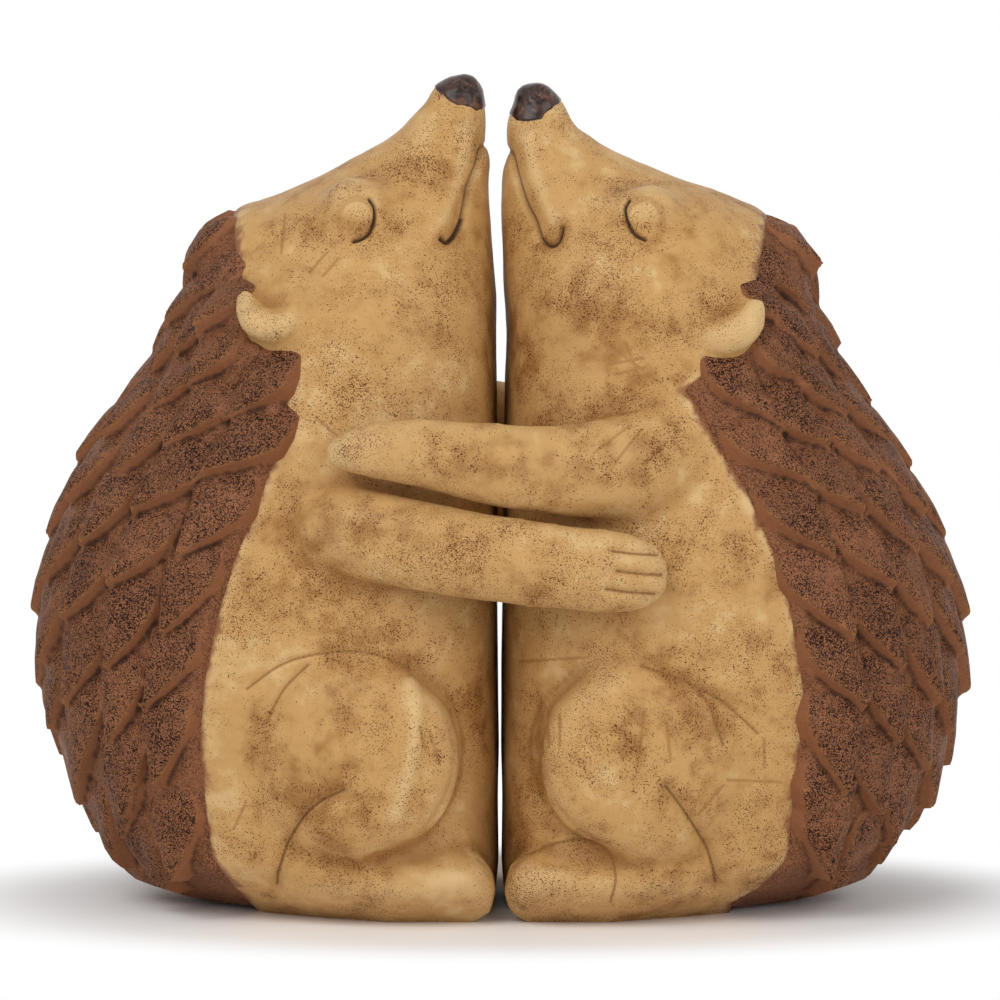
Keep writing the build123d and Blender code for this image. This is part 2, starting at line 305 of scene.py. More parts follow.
# How a casting is smoothed: rounds after joining, to find its hollows, to spread them and to fill them
JOIN_ROUNDS, FIND_ROUNDS, SPREAD_ROUNDS, FILL_ROUNDS = 4, 8, 3, 20
FILL_FROM, FILL_SHARE = 0.15 * MM, 0.4
MUZZLE_ROUNDS, MUZZLE_FROM, MUZZLE_FADE = 4, 88 * MM, 6 * MM
# How a skin is fitted to the outlines: places along them, half width of a place, and how far into the
# figure the shift reaches and fades
FIT_ROUNDS = 2
HEAD_PLACES = np.arange(2.5, 34, 0.75) * MM
HEAD_BAND, HEAD_REACH, HEAD_FADE = 0.45 * MM, 16 * MM, 14 * MM
FRONT_FROM, FRONT_STEP, FRONT_TOP = 4 * MM, 0.7 * MM, 0.8 * MM
FRONT_BAND, FRONT_REACH, FRONT_FADE = 0.5 * MM, 9 * MM, 8 * MM
FRONT_HALF = 12 * MM  # half width of the part that is looked at
BASE_ROUND = 8 * MM  # height of the rounded edge of the resting face

RIDGE_HEIGHT, RIDGE_WIDTH = 0.75 * MM, 1.4 * MM
LINE_REACH = 1.15 * MM  # how far from its lines a casting is made finer
BED_DEPTH = 2 * MM  # how far a casting is sunk under its coat
BED_EDGE = (0.5 * MM, 2.5 * MM)  # where that starts behind the coat's edge, and how far it takes
BED_EAR = (3 * MM, 2 * MM)  # the same round an ear
COAT_GRAIN = 0.9 * MM  # voxels of the skin that the quills sit on
COAT_TUCK = 0.6 * MM  # how far that skin is drawn in before the coat's edge
COAT_HEM = -2.5 * MM  # how far the coat goes on under the casting


def linear(code):
    """An sRGB hex colour as linear values."""
    shares = (int(code[place:place + 2], 16) / 255 for place in (1, 3, 5))
    return (*(s / 12.92 if s <= 0.04045 else ((s + 0.055) / 1.055) ** 2.4 for s in shares), 1.0)


def length(name, description, default):
    """A size in the user's settings."""
    return bpy.props.FloatProperty(
        name=name, description=description, default=default * MM,
        subtype="DISTANCE", unit="LENGTH", precision=5,
    )


def colour(name, description, code):
    """A colour in the user's settings."""
    return bpy.props.FloatVectorProperty(
        name=name, description=description, default=linear(code), subtype="COLOR", size=4, min=0, max=1
    )


class HedgehogSizes(bpy.types.PropertyGroup):
    """Sizes of what is modelled over the frame"""

    grain: length("Grain", "Size of the voxels that join the forms of a casting", 0.68)
    eye_cut: length("Eye cut", "Depth of the line under a closed lid", 0.6)
    mouth_cut: length("Mouth cut", "Depth of the line of the mouth", 0.8)
    finger_cut: length("Finger cut", "Depth of the lines between fingers", 0.55)
    crease: length("Crease", "Depth of the lines round the thighs", 0.3)
    thigh_cut: length("Thigh cut", "Depth of the hollow before a thigh", 1.0)
    heel_cut: length("Heel cut", "Depth of the line behind a heel", 0.9)
    scratch: length("Scratch", "Depth of the tool marks", 0.12)
    unevenness: length("Unevenness", "Height of the hand-modelled waves of the surface", 0.15)
    coat_thickness: length("Coat thickness", "How far the quill coat stands out of the back", 0.9)
    quill_grain: length("Quill grain", "Size of the voxels that join the quills of a coat", 0.36)
    quill_length: length("Quill length", "Length of a quill from root to tip", 17.0)
    quill_width: length("Quill width", "Width of a quill at its widest", 8.6)
    quill_thickness: length("Quill thickness", "How far a quill's face stands above its seat", 1.2)
    quill_row: length("Quill row", "Distance between rows of quills", 4.7)
    quill_column: length("Quill column", "Distance between columns of quills", 7.3)


class HedgehogColours(bpy.types.PropertyGroup):
    """Colours of the finishes"""

    cream: colour("Cream", "Resin of the bodies", "#C3985F")
    pale: colour("Pale", "Worn ridges of the bodies", "#DCBC88")
    # Tan is the wash and its random stains. It is also laid as painted shade in the bodies' hollows and as
    # part of a painted highlight on the quills' rims.
    tan: colour("Tan", "Wash in the hollows of the bodies", "#9C6E3B")
    speck: colour("Specks", "Dark specks on the bodies", "#5C2C08")
    # The line colour is also laid in the noses' hollows and nostrils as painted shade.
    line: colour("Lines", "Dark lines of the eyes and mouths", "#2A1810")
    quill: colour("Quills", "Faces of the quills", "#936042")
    quill_edge: colour("Quill edges", "Bevelled edges of the quills", "#8C5A3B")
    # The speck colour of the quills is also laid in their creases as painted shade.
    quill_speck_and_shade: colour("Quill specks", "Dark specks on the quills", "#22100A")
    nose: colour("Noses", "Paint of the noses", "#463029")
    floor: colour("Floor", "Floor and background", "#FFFFFF")


def as_seen(points):
    """X and rise of points in the picture, in metres, with the far side folded to the near one."""
    near = points.copy()
    near[:, 1] = -np.abs(near[:, 1])
    near -= np.array(VIEW_FROM)
    enlarge = VIEW_DISTANCE / (near @ np.array(VIEW_FORWARD))
    across, up = near @ np.array(VIEW_RIGHT), near @ np.array(VIEW_UP)
    return np.stack([across * enlarge, VIEW_RISE + up * enlarge], axis=1)


def depth_and_rise(points, figure):
    """How far behind the middle plane and above the resting line points of a figure are seen."""
    seen = as_seen(points)
    return seen[:, 0] * SIDES[figure], seen[:, 1]


def by_table(table, values):
    """What a table in millimetres gives at some values, in metres."""
    at, given = np.array(table).T * MM
    return np.interp(values, at, given)


def ray_at(side, depth, rise):
    """The ray that the camera sees a place of a figure along."""
    through = VIEW_RIGHT * side * depth * MM + VIEW_UP * rise * MM
    return VIEW_FROM, (through - VIEW_FROM).normalized()


def rounded(stations, steps=8):
    """A smooth run of values through a few stations."""
    table = np.array(stations, float)
    padded = np.vstack([2 * table[0] - table[1], table, 2 * table[-1] - table[-2]])
    run = []
    for a, b, c, d in zip(padded, padded[1:], padded[2:], padded[3:]):
        for step in range(steps):
            t = step / steps
            square = (2 * a - 5 * b + 4 * c - d) * t**2
            cube = (3 * b - a - 3 * c + d) * t**3
            run.append(0.5 * (2 * b + (c - a) * t + square + cube))
    return np.array([*run, table[-1]])


def smooth_step(values, start=0.0, width=1.0):
    """Zero below the start, one beyond the width and an easy curve between."""
    shares = np.clip((values - start) / width, 0, 1)
    return shares * shares * (3 - 2 * shares)


def bell(distance, width):
    """One at no distance, falling away over a width."""
    return np.exp(-((distance / width) ** 2))


def evened(values, count):
    """A run of values, each the mean of a few neighbours."""
    return np.convolve(np.pad(values, count // 2, mode="edge"), np.full(count, 1 / count), mode="valid")


def line_distance(places, line):
    """Distance of places to a line through points, in the same units."""
    nearest = np.full(len(places), np.inf)
    for start, end in zip(line, line[1:]):
        along = end - start
        share = np.clip((places - start) @ along / (along @ along), 0, 1)
        nearest = np.minimum(nearest, np.linalg.norm(places - start - share[:, None] * along, axis=1))
    return nearest


def seen_line(side, line):
    """A line of the tables as smooth places in the picture, in metres."""
    return rounded(line) * np.array([side, 1]) * MM


def rows(items, name, width, kind=float):
    """What a mesh keeps for each of its items, one row each."""
    flat = np.empty(len(items) * width, kind)
    items.foreach_get(name, flat)
    return flat.reshape(-1, width)


def corners(mesh):
    """Places of a mesh's vertices."""
    return rows(mesh.vertices, "co", 3)


def normals(mesh):
    """Outward directions at a mesh's vertices."""
    return rows(mesh.vertex_normals, "vector", 3)


def pairs(mesh):
    """Vertex pairs of a mesh's edges."""
    return rows(mesh.edges, "vertices", 2, int)


def place(mesh, points):
    """Moves a mesh's vertices."""
    mesh.vertices.foreach_set("co", points.ravel())
    mesh.update()


def settle(mesh, points):
    """Moves a mesh's vertices, none of them below the resting plane."""
    points[:, 2] = np.maximum(points[:, 2], 0)
    place(mesh, points)


def opened(mesh):
    """A mesh as a bmesh to work on."""
    bm = bmesh.new()
    bm.from_mesh(mesh)
    return bm


def closed(bm, mesh):
    """Writes a bmesh to a mesh, and gives the mesh."""
    bm.to_mesh(mesh)
    bm.free()
    return mesh


def put(name, data):
    """Puts an object in the scene."""
    made = bpy.data.objects.new(name, data)
    bpy.context.scene.collection.objects.link(made)
    return made


def relaxed(points, edges, rounds, share=0.5):
    """Values at vertices, drawn towards the mean of their neighbours."""
    count = np.bincount(edges.ravel(), minlength=len(points))[:, None].clip(1)
    for _ in range(rounds):
        total = np.stack([
            np.bincount(edges[:, 0], column[edges[:, 1]], len(points))
            + np.bincount(edges[:, 1], column[edges[:, 0]], len(points))
            for column in points.T
        ], axis=1)
        points = points + share * (total / count - points)
    return points


def hollows(points, edges, outward, rounds):
    """How far each point lies below its surroundings."""
    return np.einsum("ij,ij->i", relaxed(points, edges, rounds) - points, outward)


def waves(points, size):
    """Slow noise at points, from about -1 to 1."""
    return np.array([noise.noise(Vector(point) / size) for point in points])


def attribute(mesh, name, values):
    """Keeps a value at every vertex for a material to read."""
    layer = mesh.attributes.new(name, "FLOAT", "POINT")
    layer.data.foreach_set("value", np.ascontiguousarray(values, np.float32))


def node_form(bm, name):
    """Adds a copy of a CAD node's shape, with its loose triangles joined."""
    bm.from_mesh(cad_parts[name].data)
    bmesh.ops.remove_doubles(bm, verts=bm.verts, dist=0.001 * MM)


def ball(bm, middle, half_sizes, fineness=2, squareness=1.0, skew=0.0):
    """Adds a rounded mass, flat where it would go below the resting plane."""
    made = bmesh.ops.create_icosphere(bm, subdivisions=fineness, radius=1)
    for vert in made["verts"]:
        x, y, z = vert.co
        y = math.copysign(abs(y) ** squareness, y)
        local = Vector((x * half_sizes[0], y * half_sizes[1] + skew * x * half_sizes[0], z * half_sizes[2]))
        vert.co = (Vector(middle) + local) * MM
        vert.co.z = max(vert.co.z, 0)


def limb(bm, side, flank, stations):
    """Adds a limb as a close run of balls that the casting joins."""
    for depth, out, height, half_depth, half_height in rounded(stations, 6):
        ball(bm, (side * depth, flank * out, height), (min(half_depth, half_height), half_depth, half_height))


def mass(bm, side, flank, form):
    """Adds one of the rounded masses of the tables."""
    (depth, out, height), half_sizes, squareness, lean = form
    ball(bm, (side * depth, flank * out, height), half_sizes, 5, squareness, -side * flank * lean)


def joined(bm, voxel, name):
    """One closed skin round all the forms in a bmesh."""
    mesh = closed(bm, bpy.data.meshes.new(name))
    rough = put(name, mesh)
    remesh = rough.modifiers.new("Join", "REMESH")
    remesh.mode = "VOXEL"
    remesh.voxel_size = voxel
    bpy.context.view_layer.update()
    skin = bpy.data.meshes.new_from_object(rough.evaluated_get(bpy.context.evaluated_depsgraph_get()))
    bpy.data.objects.remove(rough)
    bpy.data.meshes.remove(mesh)
    skin.name = name
    return skin


def finished(mesh, name, figure, material, nodes):
    """Puts a piece in the scene, on its figure's body, in place of its CAD nodes."""
    mesh.materials.clear()
    mesh.materials.append(material)
    mesh.shade_smooth()
    piece = put(name, mesh)
    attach(piece, f"{figure}_hedgehog")
    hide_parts(*nodes)


def fitted_forehead(points, figure):
    """Points of a skin, shifted up or down so that the top of the head has the outline that is seen."""
    moved = points.copy()
    for _ in range(FIT_ROUNDS):
        depth, rise = depth_and_rise(moved, figure)
        top = np.array([rise[np.abs(depth - each) < HEAD_BAND].max() for each in HEAD_PLACES])
        gap = evened(by_table(FOREHEAD[figure], HEAD_PLACES) - top, 5)
        share = smooth_step(rise - np.interp(depth, HEAD_PLACES, top), -HEAD_REACH, HEAD_FADE)
        moved[:, 2] += np.interp(depth, HEAD_PLACES, gap) * share
    return moved


def fitted_front(points, figure):
    """Points of a skin, shifted along X so that the front of the figure has the outline that is seen."""
    middle = np.abs(points[:, 1]) < FRONT_HALF
    moved = points.copy()
    for _ in range(FIT_ROUNDS):
        depth, rise = depth_and_rise(moved, figure)
        at = np.arange(FRONT_FROM, rise.max() - FRONT_TOP, FRONT_STEP)
        front = np.array([depth[middle & (np.abs(rise - each) < FRONT_BAND)].min() for each in at])
        gap = evened(by_table(FRONT[figure], at) - front, 3)
        share = smooth_step(np.interp(rise, at, front) + FRONT_REACH - depth, 0, FRONT_FADE)
        share *= smooth_step(2.5 - np.abs(points[:, 1]) / FRONT_FADE)
        moved[:, 0] += SIDES[figure] * np.interp(rise, at, gap) * share
    return moved


def behind_edge(points, figure):
    """How far points are behind the front edge of the coat, as they are seen."""
    depth, rise = depth_and_rise(points, figure)
    return depth - by_table([spot[::-1] for spot in COAT_EDGE[figure]], rise)


def softened_base(points, figure):
    """Points of a skin, drawn in below so that it rests on a face with a well rounded edge."""
    half = by_table(REST_FACE, points[:, 0] * SIDES[figure])
    over = np.maximum(np.abs(points[:, 1]) - half, 0)
    moved = points.copy()
    moved[:, 1] -= np.sign(points[:, 1]) * over * np.clip(1 - points[:, 2] / BASE_ROUND, 0, 1) ** 2
    return moved


def ear_distance(points, figure):
    """Distance of points to the middle line of the nearer ear."""
    return line_distance(np.abs(points), rounded(EARS[figure])[:, :3] * MM)


def sideways(outward):
    """One where a surface faces a flank, and zero where it faces along the picture."""
    return smooth_step(np.abs(outward[:, 1]), 0.1, 0.25)


def node(tree, kind, inputs=(), out=0, **settings):
    """Adds a node with its settings, sets or links its inputs, and gives one of its outputs."""
    made = tree.nodes.new(kind)
    for key, value in settings.items():
        setattr(made, key, value)
    for key, value in dict(inputs).items():
        if isinstance(value, bpy.types.NodeSocket):
            tree.links.new(value, made.inputs[key])
        else:
            made.inputs[key].default_value = value
    return made.outputs[out] if made.outputs else made


def maths(tree, operation, *values):
    """A sum with some values."""
    return node(tree, "ShaderNodeMath", dict(enumerate(values)), operation=operation)


def mixed(tree, share, first, second):
    """A colour that goes over to a second one."""
    return node(tree, "ShaderNodeMix", {0: share, 6: first, 7: second}, 2, data_type="RGBA")


def eased(tree, value, start, end, most=1.0, least=0.0, kind="SMOOTHSTEP"):
    """The least at the start of a value's span, the most at its end and a curve between."""
    span = {"Value": value, 1: start, 2: end, 3: least, 4: most}
    return node(tree, "ShaderNodeMapRange", span, interpolation_type=kind)


def clouded(tree, where, size, detail=0.0, roughness=0.5, distortion=0.0):
    """Noise with clouds of a size."""
    cloud = {"Scale": 1 / size, "Detail": detail, "Roughness": roughness, "Distortion": distortion}
    return node(tree, "ShaderNodeTexNoise", {"Vector": where, **cloud})


def reading(tree, name):
    """A value that is kept at every vertex."""
    return node(tree, "ShaderNodeAttribute", out="Fac", attribute_name=name)


def new_material(name):
    """An empty material, and its reading of Object coordinates."""
    material = bpy.data.materials.new(name)
    material.use_nodes = True
    material.node_tree.nodes.clear()
    return material, material.node_tree, node(material.node_tree, "ShaderNodeTexCoord", out="Object")


def surfaced(material, tone, roughness, shine, relief, strength, depth, **more):
    """A material that is ended with its surface, over a fine relief."""
    tree = material.node_tree
    bump = node(tree, "ShaderNodeBump", {"Height": relief, "Strength": strength, "Distance": depth})
    inputs = {"Base Color": tone, "Roughness": roughness, "Normal": bump, "Specular IOR Level": shine, **more}
    shader = node(tree, "ShaderNodeBsdfPrincipled", inputs)
    node(tree, "ShaderNodeOutputMaterial", {"Surface": shader})
    return material


def dashes(tree, where, size, cover, patch):
    """Short wandering dashes, as a wash leaves them in the pits of a casting: bits of the contours of a
    noise, gathered in patches. They are drawn about a quarter of a millimetre wide, so that they show."""
    off = maths(tree, "SUBTRACT", clouded(tree, where, size), 0.5)
    thin = eased(tree, maths(tree, "ABSOLUTE", off), 0.12, 0.05)
    bits = clouded(tree, where, size / 1.7)
    patches = clouded(tree, where, patch, 3.0, 0.65)
    level = maths(tree, "MULTIPLY_ADD", patches, 1.15, bits)
    return maths(tree, "MULTIPLY", thin, eased(tree, level, cover, cover + 0.08))


def resin_material(colours):
    """Filled polyester resin, cast in a rubber mould, wiped with a brown wash and waxed: soft satin, paler on
    its ridges, with brown left in every pit and line, and tan in its hollows that is partly that wash and
    partly painted shade."""
    material, tree, where = new_material("waxed_cast_resin")
    clouds = clouded(tree, where, 14 * MM, 3.0, 0.6)
    mottle = clouded(tree, where, 2.6 * MM, 2.0, 0.6)
    hollow = reading(tree, "hollow")
    both = maths(tree, "MULTIPLY_ADD", mottle, 0.6, clouds)
    stained = eased(tree, both, 0.76, 1.05, 0.9)
    tone = mixed(tree, stained, colours.cream, colours.tan)
    bare = eased(tree, both, 0.76, 0.54, 0.6)
    tone = mixed(tree, bare, tone, colours.pale)
    ridge = eased(tree, hollow, -0.06, -0.5, 0.6)
    tone = mixed(tree, ridge, tone, colours.pale)
    # Painted shade: tan where the casting lies below its surroundings, partly the wash left in the hollows
    # and partly the shade that falls there.
    sunk = eased(tree, hollow, 0.02, 0.35, 0.9)
    tone = mixed(tree, sunk, tone, colours.tan)
    tone = mixed(tree, reading(tree, "mark"), tone, colours.tan)
    dirt = maths(tree, "MULTIPLY_ADD", mottle, 3.0, reading(tree, "behind"))
    dirt = eased(tree, dirt, 1.3, 2.4, 0.95)
    tone = mixed(tree, dirt, tone, colours.quill_edge)
    coarse = dashes(tree, where, 0.33 * MM, 1.23, 7 * MM)
    fine = dashes(tree, where, 0.25 * MM, 1.22, 12 * MM)
    specks = maths(tree, "MULTIPLY", maths(tree, "MAXIMUM", coarse, fine), 0.95)
    tone = mixed(tree, specks, tone, colours.speck)
    tone = mixed(tree, reading(tree, "line"), tone, colours.line)
    wax = eased(tree, clouds, 0.3, 0.7, 0.54, 0.42, "LINEAR")
    return surfaced(material, tone, wax, 0.2, mottle, 0.3, 0.25 * MM, IOR=1.45)


def quill_material(colours):
    """The same resin under brown paint, wiped back: the steep edges are smooth and warmer, and the faces
    hold dense dark specks. The creases under the plates are darkened as pooled paint and painted shade, and
    the raised rims lightened as worn paint and painted highlight."""
    material, tree, where = new_material("brown_painted_resin")
    clouds = clouded(tree, where, 8 * MM, 3.0, 0.6)
    mottle = clouded(tree, where, 1.6 * MM, 2.0, 0.6)
    wall, hollow = reading(tree, "wall"), reading(tree, "hollow")
    shade = maths(tree, "ADD", clouds, mottle)
    shade = maths(tree, "MULTIPLY_ADD", reading(tree, "tint"), 0.25, shade)
    shade = eased(tree, shade, 1.35, 0.9, 0.3)
    face = mixed(tree, shade, colours.quill, colours.quill_speck_and_shade)
    edge = mixed(tree, mottle, colours.quill, colours.quill_edge)
    tone = mixed(tree, wall, face, edge)
    # Painted highlight: tan on the plates' raised rims, partly paint worn away there and partly the light
    # that catches those edges.
    wear_and_highlight = eased(tree, hollow, -0.04, -0.14, 0.42)
    tone = mixed(tree, wear_and_highlight, tone, colours.tan)
    # Painted shade: the speck colour laid in the creases under the plates' walls, partly paint pooled there
    # and partly the shade that falls under them.
    pooled_paint_and_shade = eased(tree, hollow, 0.015, 0.13, 0.9)
    tone = mixed(tree, pooled_paint_and_shade, tone, colours.quill_speck_and_shade)
    coarse = dashes(tree, where, 0.36 * MM, 1.03, 5 * MM)
    fine = dashes(tree, where, 0.26 * MM, 0.97, 8 * MM)
    hold = eased(tree, wall, 0.0, 1.0, 0.15, 1.0, "LINEAR")
    specks = maths(tree, "MULTIPLY", maths(tree, "MAXIMUM", coarse, fine), hold)
    tone = mixed(tree, specks, tone, colours.quill_speck_and_shade)
    sheen = eased(tree, clouds, 0.3, 0.7, 0.64, 0.5, "LINEAR")
    return surfaced(material, tone, sheen, 0.12, mottle, 0.5, 0.3 * MM, IOR=1.45)


def nose_material(colours):
    """Dark satin paint over the resin, brushed by hand: streaky, and thin in patches, with painted shade in
    its hollows and nostrils.
    """
    material, tree, where = new_material("dark_nose_paint")
    streaks = clouded(tree, where, 1.2 * MM, 3.0)
    tone = mixed(tree, eased(tree, streaks, 0.38, 0.66), colours.quill_speck_and_shade, colours.nose)
    patches = clouded(tree, where, 1.9 * MM, 2.0, distortion=1.2)
    thin = eased(tree, patches, 0.52, 0.68, 0.35)
    tone = mixed(tree, thin, tone, colours.quill)
    # Painted shade: the darkest line colour laid in the hollows of the nose paint, the nostrils above all.
    low = eased(tree, reading(tree, "hollow"), 0.02, 0.12, 0.8)
    tone = mixed(tree, low, tone, colours.line)
    return surfaced(material, tone, 0.24, 0.3, streaks, 0.4, 0.2 * MM)


def refined(mesh, lines, reach):
    """Divides the faces of a mesh near seen lines, so that cuts come out crisp."""
    bm = opened(mesh)
    for share in (1.0, 0.6):
        bm.verts.ensure_lookup_table()
        seen = as_seen(np.array([vert.co for vert in bm.verts]))
        close = np.min([line_distance(seen, line) for line in lines], axis=0) < reach * share
        edges = [edge for edge in bm.edges if close[edge.verts[0].index] and close[edge.verts[1].index]]
        bmesh.ops.subdivide_edges(bm, edges=edges, cuts=1, use_grid_fill=True)
        bm.verts.index_update()
    closed(bm, mesh)


def casting_forms(figure):
    """Body, muzzle tip, limbs, ears and lids of one figure, as closed forms that overlap."""
    side = SIDES[figure]
    bm = bmesh.new()
    node_form(bm, f"{figure}_body")
    body = BVHTree.FromBMesh(bm)
    node_form(bm, f"{figure}_nose")
    (lid_depth, lid_rise), lid_sizes = LID
    spot, outward, _, _ = body.ray_cast(*ray_at(side, lid_depth, lid_rise))
    lid = (spot - outward * (lid_sizes[1] - LID_PROUD) * MM) / MM
    for flank in FLANKS:
        limb(bm, side, flank, ARMS[figure])
        limb(bm, side, flank, FOOT)
        limb(bm, side, flank, EARS[figure])
        mass(bm, side, flank, HAUNCH)
        mass(bm, side, flank, SHIN)
        if figure == "right":
            mass(bm, side, flank, SHOULDER)
        ball(bm, (lid.x, flank * abs(lid.y), lid.z), lid_sizes, 4)
    return bm


def casting_skin(figure, sizes):
    """The forms of a figure as one skin, with its hollows filled and its outline fitted."""
    mesh = joined(casting_forms(figure), sizes.grain, f"{figure}_casting")
    edges = pairs(mesh)
    points = relaxed(corners(mesh), edges, JOIN_ROUNDS)
    place(mesh, points)
    sunk = hollows(points, edges, normals(mesh), FIND_ROUNDS)
    fillet = relaxed(smooth_step(sunk, 0, FILL_FROM)[:, None], edges, SPREAD_ROUNDS)
    points += FILL_SHARE * fillet * (relaxed(points, edges, FILL_ROUNDS) - points)
    points = softened_base(fitted_forehead(fitted_front(points, figure), figure), figure)
    muzzle = smooth_step(points[:, 2:], MUZZLE_FROM, MUZZLE_FADE)
    points += muzzle * (relaxed(points, edges, MUZZLE_ROUNDS) - points)
    place(mesh, points)
    outward = normals(mesh)
    seen, flank = as_seen(points), sideways(outward)
    raised = np.zeros(len(points))
    for line in RIDGES[figure]:
        away = line_distance(seen, seen_line(SIDES[figure], line))
        raised = np.maximum(raised, RIDGE_HEIGHT * bell(away, RIDGE_WIDTH) * flank)
    bed = BED_DEPTH * smooth_step(behind_edge(points, figure), *BED_EDGE)
    bed *= smooth_step(ear_distance(points, figure), *BED_EAR)
    points += outward * (raised - bed)[:, None]
    settle(mesh, points)
    attribute(mesh, "hollow", hollows(points, edges, normals(mesh), 20) / MM)
    return mesh


def make_casting(figure, sizes, material):
    """One figure without its quills and nose paint: its skin, cut and stained along its lines."""
    side = SIDES[figure]
    mesh = casting_skin(figure, sizes)
    eye, mouth = seen_line(side, EYE[figure]), seen_line(side, MOUTH[figure])
    heel, thigh = seen_line(side, HEELS[figure]), seen_line(side, THIGHS[figure])
    fingers, creases, scratches = (
        [seen_line(side, line) for line in lines[figure]] for lines in (FINGERS, CREASES, SCRATCHES)
    )
    (lid_depth, lid_rise), _ = LID
    turns = np.radians(np.arange(*LID_RIM_TURNS)) + LID_RIM_TILT
    lid_across = side * (lid_depth + LID_RIM[0] * np.sin(turns))
    lid = np.stack([lid_across, lid_rise + LID_RIM[1] * np.cos(turns)], axis=1) * MM
    nostril = seen_line(side, [NOSTRIL[figure], np.array(NOSTRIL[figure]) + 0.1])
    refined(mesh, [eye, lid, mouth, heel, nostril, *fingers, *creases, *scratches], LINE_REACH)

    points, outward = corners(mesh), normals(mesh)
    seen, flank = as_seen(points), sideways(outward)
    cut, dark, mark = np.zeros((3, len(points)))
    for lines, depth, half_width, paint, paint_width, stain, weight in (
        ([eye], sizes.eye_cut, 0.3 * MM, 0.95, 0.19 * MM, 0.3, flank),
        ([lid], 0.1 * MM, 0.4 * MM, 0, 0.3 * MM, 0.4, flank),
        ([mouth], sizes.mouth_cut, 0.36 * MM, 0.7, 0.13 * MM, 0.3, 0.35 + 0.65 * flank),
        ([mouth[len(mouth) * 3 // 5:]], 0, 0.3 * MM, 0.9, MOUTH_PAINT[figure] * MM, 0.3, flank),
        ([mouth[len(mouth) * 3 // 4:]], 0, 0.3 * MM, 0, 0.8 * MM, 0.6, flank),
        (fingers, sizes.finger_cut, 0.5 * MM, 0.35, 0.13 * MM, 0.7, flank),
        # The dark paint in the heel line is partly wash in the cut and partly painted shadow of the step
        # behind the heel.
        ([heel], sizes.heel_cut, 0.85 * MM, 0.5, 0.14 * MM, 0.7, flank),
        ([thigh], sizes.thigh_cut, 1.5 * MM, 0.1, 0.2 * MM, 0.5, flank),
        (creases, sizes.crease, 0.4 * MM, 0.25, 0.11 * MM, 0.7, flank),
        (scratches, sizes.scratch, 0.22 * MM, 0, 0.12 * MM, 0.6, flank),
    ):
        for line in lines:
            away = line_distance(seen, line)
            cut = np.maximum(cut, depth * bell(away, half_width) * weight)
            dark = np.maximum(dark, paint * smooth_step(1.5 - away / paint_width) * weight)
            mark = np.maximum(mark, stain * smooth_step(2 - away / paint_width) * weight)
    away = np.linalg.norm(seen - np.array(NOSTRIL[figure]) * np.array([side, 1]) * MM, axis=1) / MM
    rim, hole = 0.18 * bell(away - 1.1, 0.3), 0.5 * bell(away, 0.45)
    raised = (rim - hole) * MM
    points += outward * (waves(points, 7 * MM) * sizes.unevenness + raised - cut)[:, None]
    settle(mesh, points)
    attribute(mesh, "line", dark)
    attribute(mesh, "mark", mark)
    behind = np.clip(behind_edge(points, figure) / MM, -20, 20)
    attribute(mesh, "behind", np.where(ear_distance(points, figure) < 2.9 * MM, -20, behind))
    members = ("body", "near_ear", "far_ear", "near_arm", "far_arm", "near_leg", "far_leg")
    finished(mesh, f"{figure}_casting", figure, material, [f"{figure}_{m}" for m in members])


def coat_skin(figure, sizes):
    """The back of the body, grown by the coat's thickness behind its edge and drawn in before it."""
    bm = bmesh.new()
    node_form(bm, f"{figure}_body")
    for (depth, out, height), half_sizes in (CROWN[figure], TAIL):
        ball(bm, (SIDES[figure] * depth, out, height), half_sizes, 4)
    skin = joined(bm, COAT_GRAIN, f"{figure}_coat_skin")
    points = relaxed(corners(skin), pairs(skin), JOIN_ROUNDS)
    points = softened_base(fitted_forehead(points, figure), figure)
    place(skin, points)
    behind = behind_edge(points, figure)
    crown = smooth_step(points[:, 2], 68 * MM, 16 * MM)
    middle = 1 - 0.65 * smooth_step(np.abs(points[:, 1]), 10 * MM, 12 * MM)
    swell = by_table(COAT_SWELL[figure], points[:, 2]) * middle
    thickness = sizes.coat_thickness * (1 - 0.75 * crown) + swell
    grown = (thickness + COAT_TUCK) * smooth_step(behind, 0, 1.6 * MM) - COAT_TUCK
    outward = normals(skin)
    grown *= smooth_step(outward[:, 2], -0.95, 0.35)
    settle(skin, points + outward * grown[:, None])
    return skin


def quill_form(sizes, shake):
    """One quill along X: a pointed plate with steep edges and a raised middle, seated at the origin and sunk
    at its root, and which of its faces are its edges."""
    long, half, thick = sizes.quill_length, sizes.quill_width / 2, sizes.quill_thickness
    bm = bmesh.new()
    outline = []
    for flank in FLANKS:
        for along, across in QUILL_OUTLINE[::flank]:
            x = along * long * shake.uniform(0.97, 1.03)
            y = flank * across * half * shake.uniform(0.96, 1.04)
            outline.append(bm.verts.new((x, y, QUILL_FOOT)))
    face = bm.faces.new(outline)
    face.normal_update()
    if face.normal.z < 0:
        face.normal_flip()
    for scale, height in QUILL_LEVELS:
        made = bmesh.ops.extrude_face_region(bm, geom=[face])
        face = next(item for item in made["geom"] if isinstance(item, bmesh.types.BMFace))
        for vert in face.verts:
            spot = vert.co.x * scale, vert.co.y * scale
            root = 1 - float(smooth_step(spot[0] / long, -0.47, 0.4))
            vert.co = (*spot, thick + height - QUILL_SUNK * root)
    bmesh.ops.recalc_face_normals(bm, faces=bm.faces)
    walls = [float(min(vert.co.z for vert in each.verts) < 0.9 * QUILL_FOOT) for each in bm.faces]
    return closed(bm, bpy.data.meshes.new("quill")), walls


